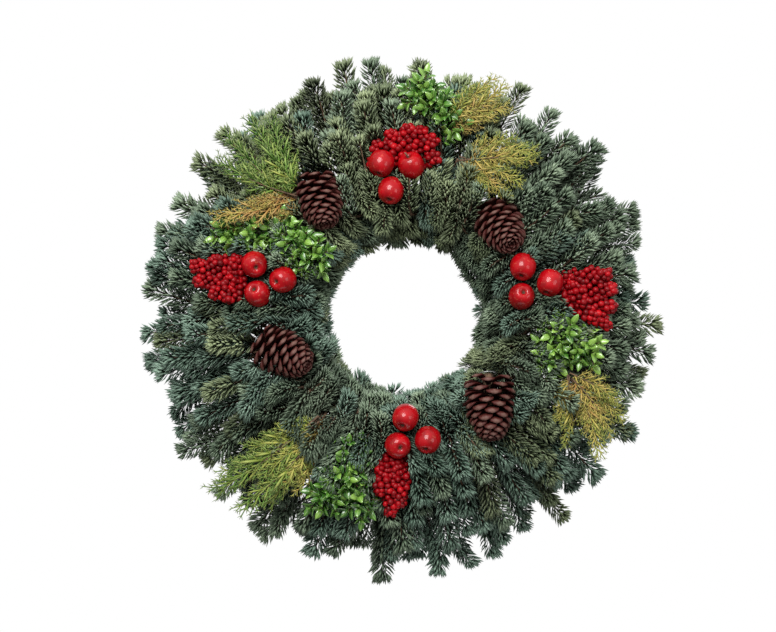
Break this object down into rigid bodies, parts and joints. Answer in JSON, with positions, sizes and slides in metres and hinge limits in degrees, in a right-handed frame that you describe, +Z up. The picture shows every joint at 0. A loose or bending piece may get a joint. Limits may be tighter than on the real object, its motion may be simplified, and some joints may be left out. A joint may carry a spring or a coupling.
{
  "type": "fruit wreath",
  "caption": "Round hanging wreath of fir, cedar and boxwood bunches wired to a ring frame, dressed with small red apples, berry sprays and pine cones.",
  "frame": {"origin": "the inner top of the hanging loop's eye, where a nail or hook bears", "axes": "+Z up as it hangs, +Y into the door or wall behind it, so the decorated front faces -Y"},
  "size_m": [0.5981, 0.1204, 0.604],
  "materials": {
    "galvanised_wire": "dull zinc-coated drawn wire",
    "green_wire": "dark green enamelled soft wire",
    "fir_needles": "blue-green needles with a pale bloom on brown twigs",
    "cedar_leaf": "flat scaly sprays, yellow-green to golden at the tips",
    "boxwood_leaf": "small glossy bright green leaves",
    "apple_skin": "polished deep red skin",
    "pepperberry": "dry red berries on fine stalks",
    "pine_cone_scales": "dark maroon-brown woody scales with tan tips"
  },
  "bodies": {
    "root": {"wire_frame": "galvanised_wire", "hanging_loop": "galvanised_wire", "binding_wire": "green_wire", "red_apple_top_1": "apple_skin", "red_apple_top_2": "apple_skin", "red_apple_top_3": "apple_skin", "red_apple_right_1": "apple_skin", "red_apple_right_2": "apple_skin", "red_apple_right_3": "apple_skin", "red_apple_bottom_1": "apple_skin", "red_apple_bottom_2": "apple_skin", "red_apple_bottom_3": "apple_skin", "red_apple_left_1": "apple_skin", "red_apple_left_2": "apple_skin", "red_apple_left_3": "apple_skin", "pine_cone_upper_left": "pine_cone_scales", "pine_cone_upper_right": "pine_cone_scales", "pine_cone_lower_right": "pine_cone_scales", "pine_cone_lower_left": "pine_cone_scales", "pepperberry_spray_top": "pepperberry", "pepperberry_spray_right": "pepperberry", "pepperberry_spray_bottom": "pepperberry", "pepperberry_spray_left": "pepperberry", "fruit_pick_wire_top": "green_wire", "fruit_pick_wire_right": "green_wire", "fruit_pick_wire_bottom": "green_wire", "fruit_pick_wire_left": "green_wire", "cone_wire_upper_left": "galvanised_wire", "cone_wire_upper_right": "galvanised_wire", "cone_wire_lower_right": "galvanised_wire", "cone_wire_lower_left": "galvanised_wire", "boxwood_sprig_top": "boxwood_leaf", "boxwood_sprig_right": "boxwood_leaf", "boxwood_sprig_lower_left": "boxwood_leaf", "boxwood_sprig_left": "boxwood_leaf", "cedar_spray_top": "cedar_leaf", "cedar_spray_upper_right": "cedar_leaf", "cedar_spray_lower_right": "cedar_leaf", "cedar_spray_lower_left": "cedar_leaf", "cedar_spray_upper_left": "cedar_leaf", "fir_bunch_01": "fir_needles", "fir_bunch_02": "fir_needles", "fir_bunch_03": "fir_needles", "fir_bunch_04": "fir_needles", "fir_bunch_05": "fir_needles", "fir_bunch_06": "fir_needles", "fir_bunch_07": "fir_needles", "fir_bunch_08": "fir_needles", "fir_bunch_09": "fir_needles", "fir_bunch_10": "fir_needles", "fir_bunch_11": "fir_needles", "fir_bunch_12": "fir_needles"}
  },
  "joints": []
}
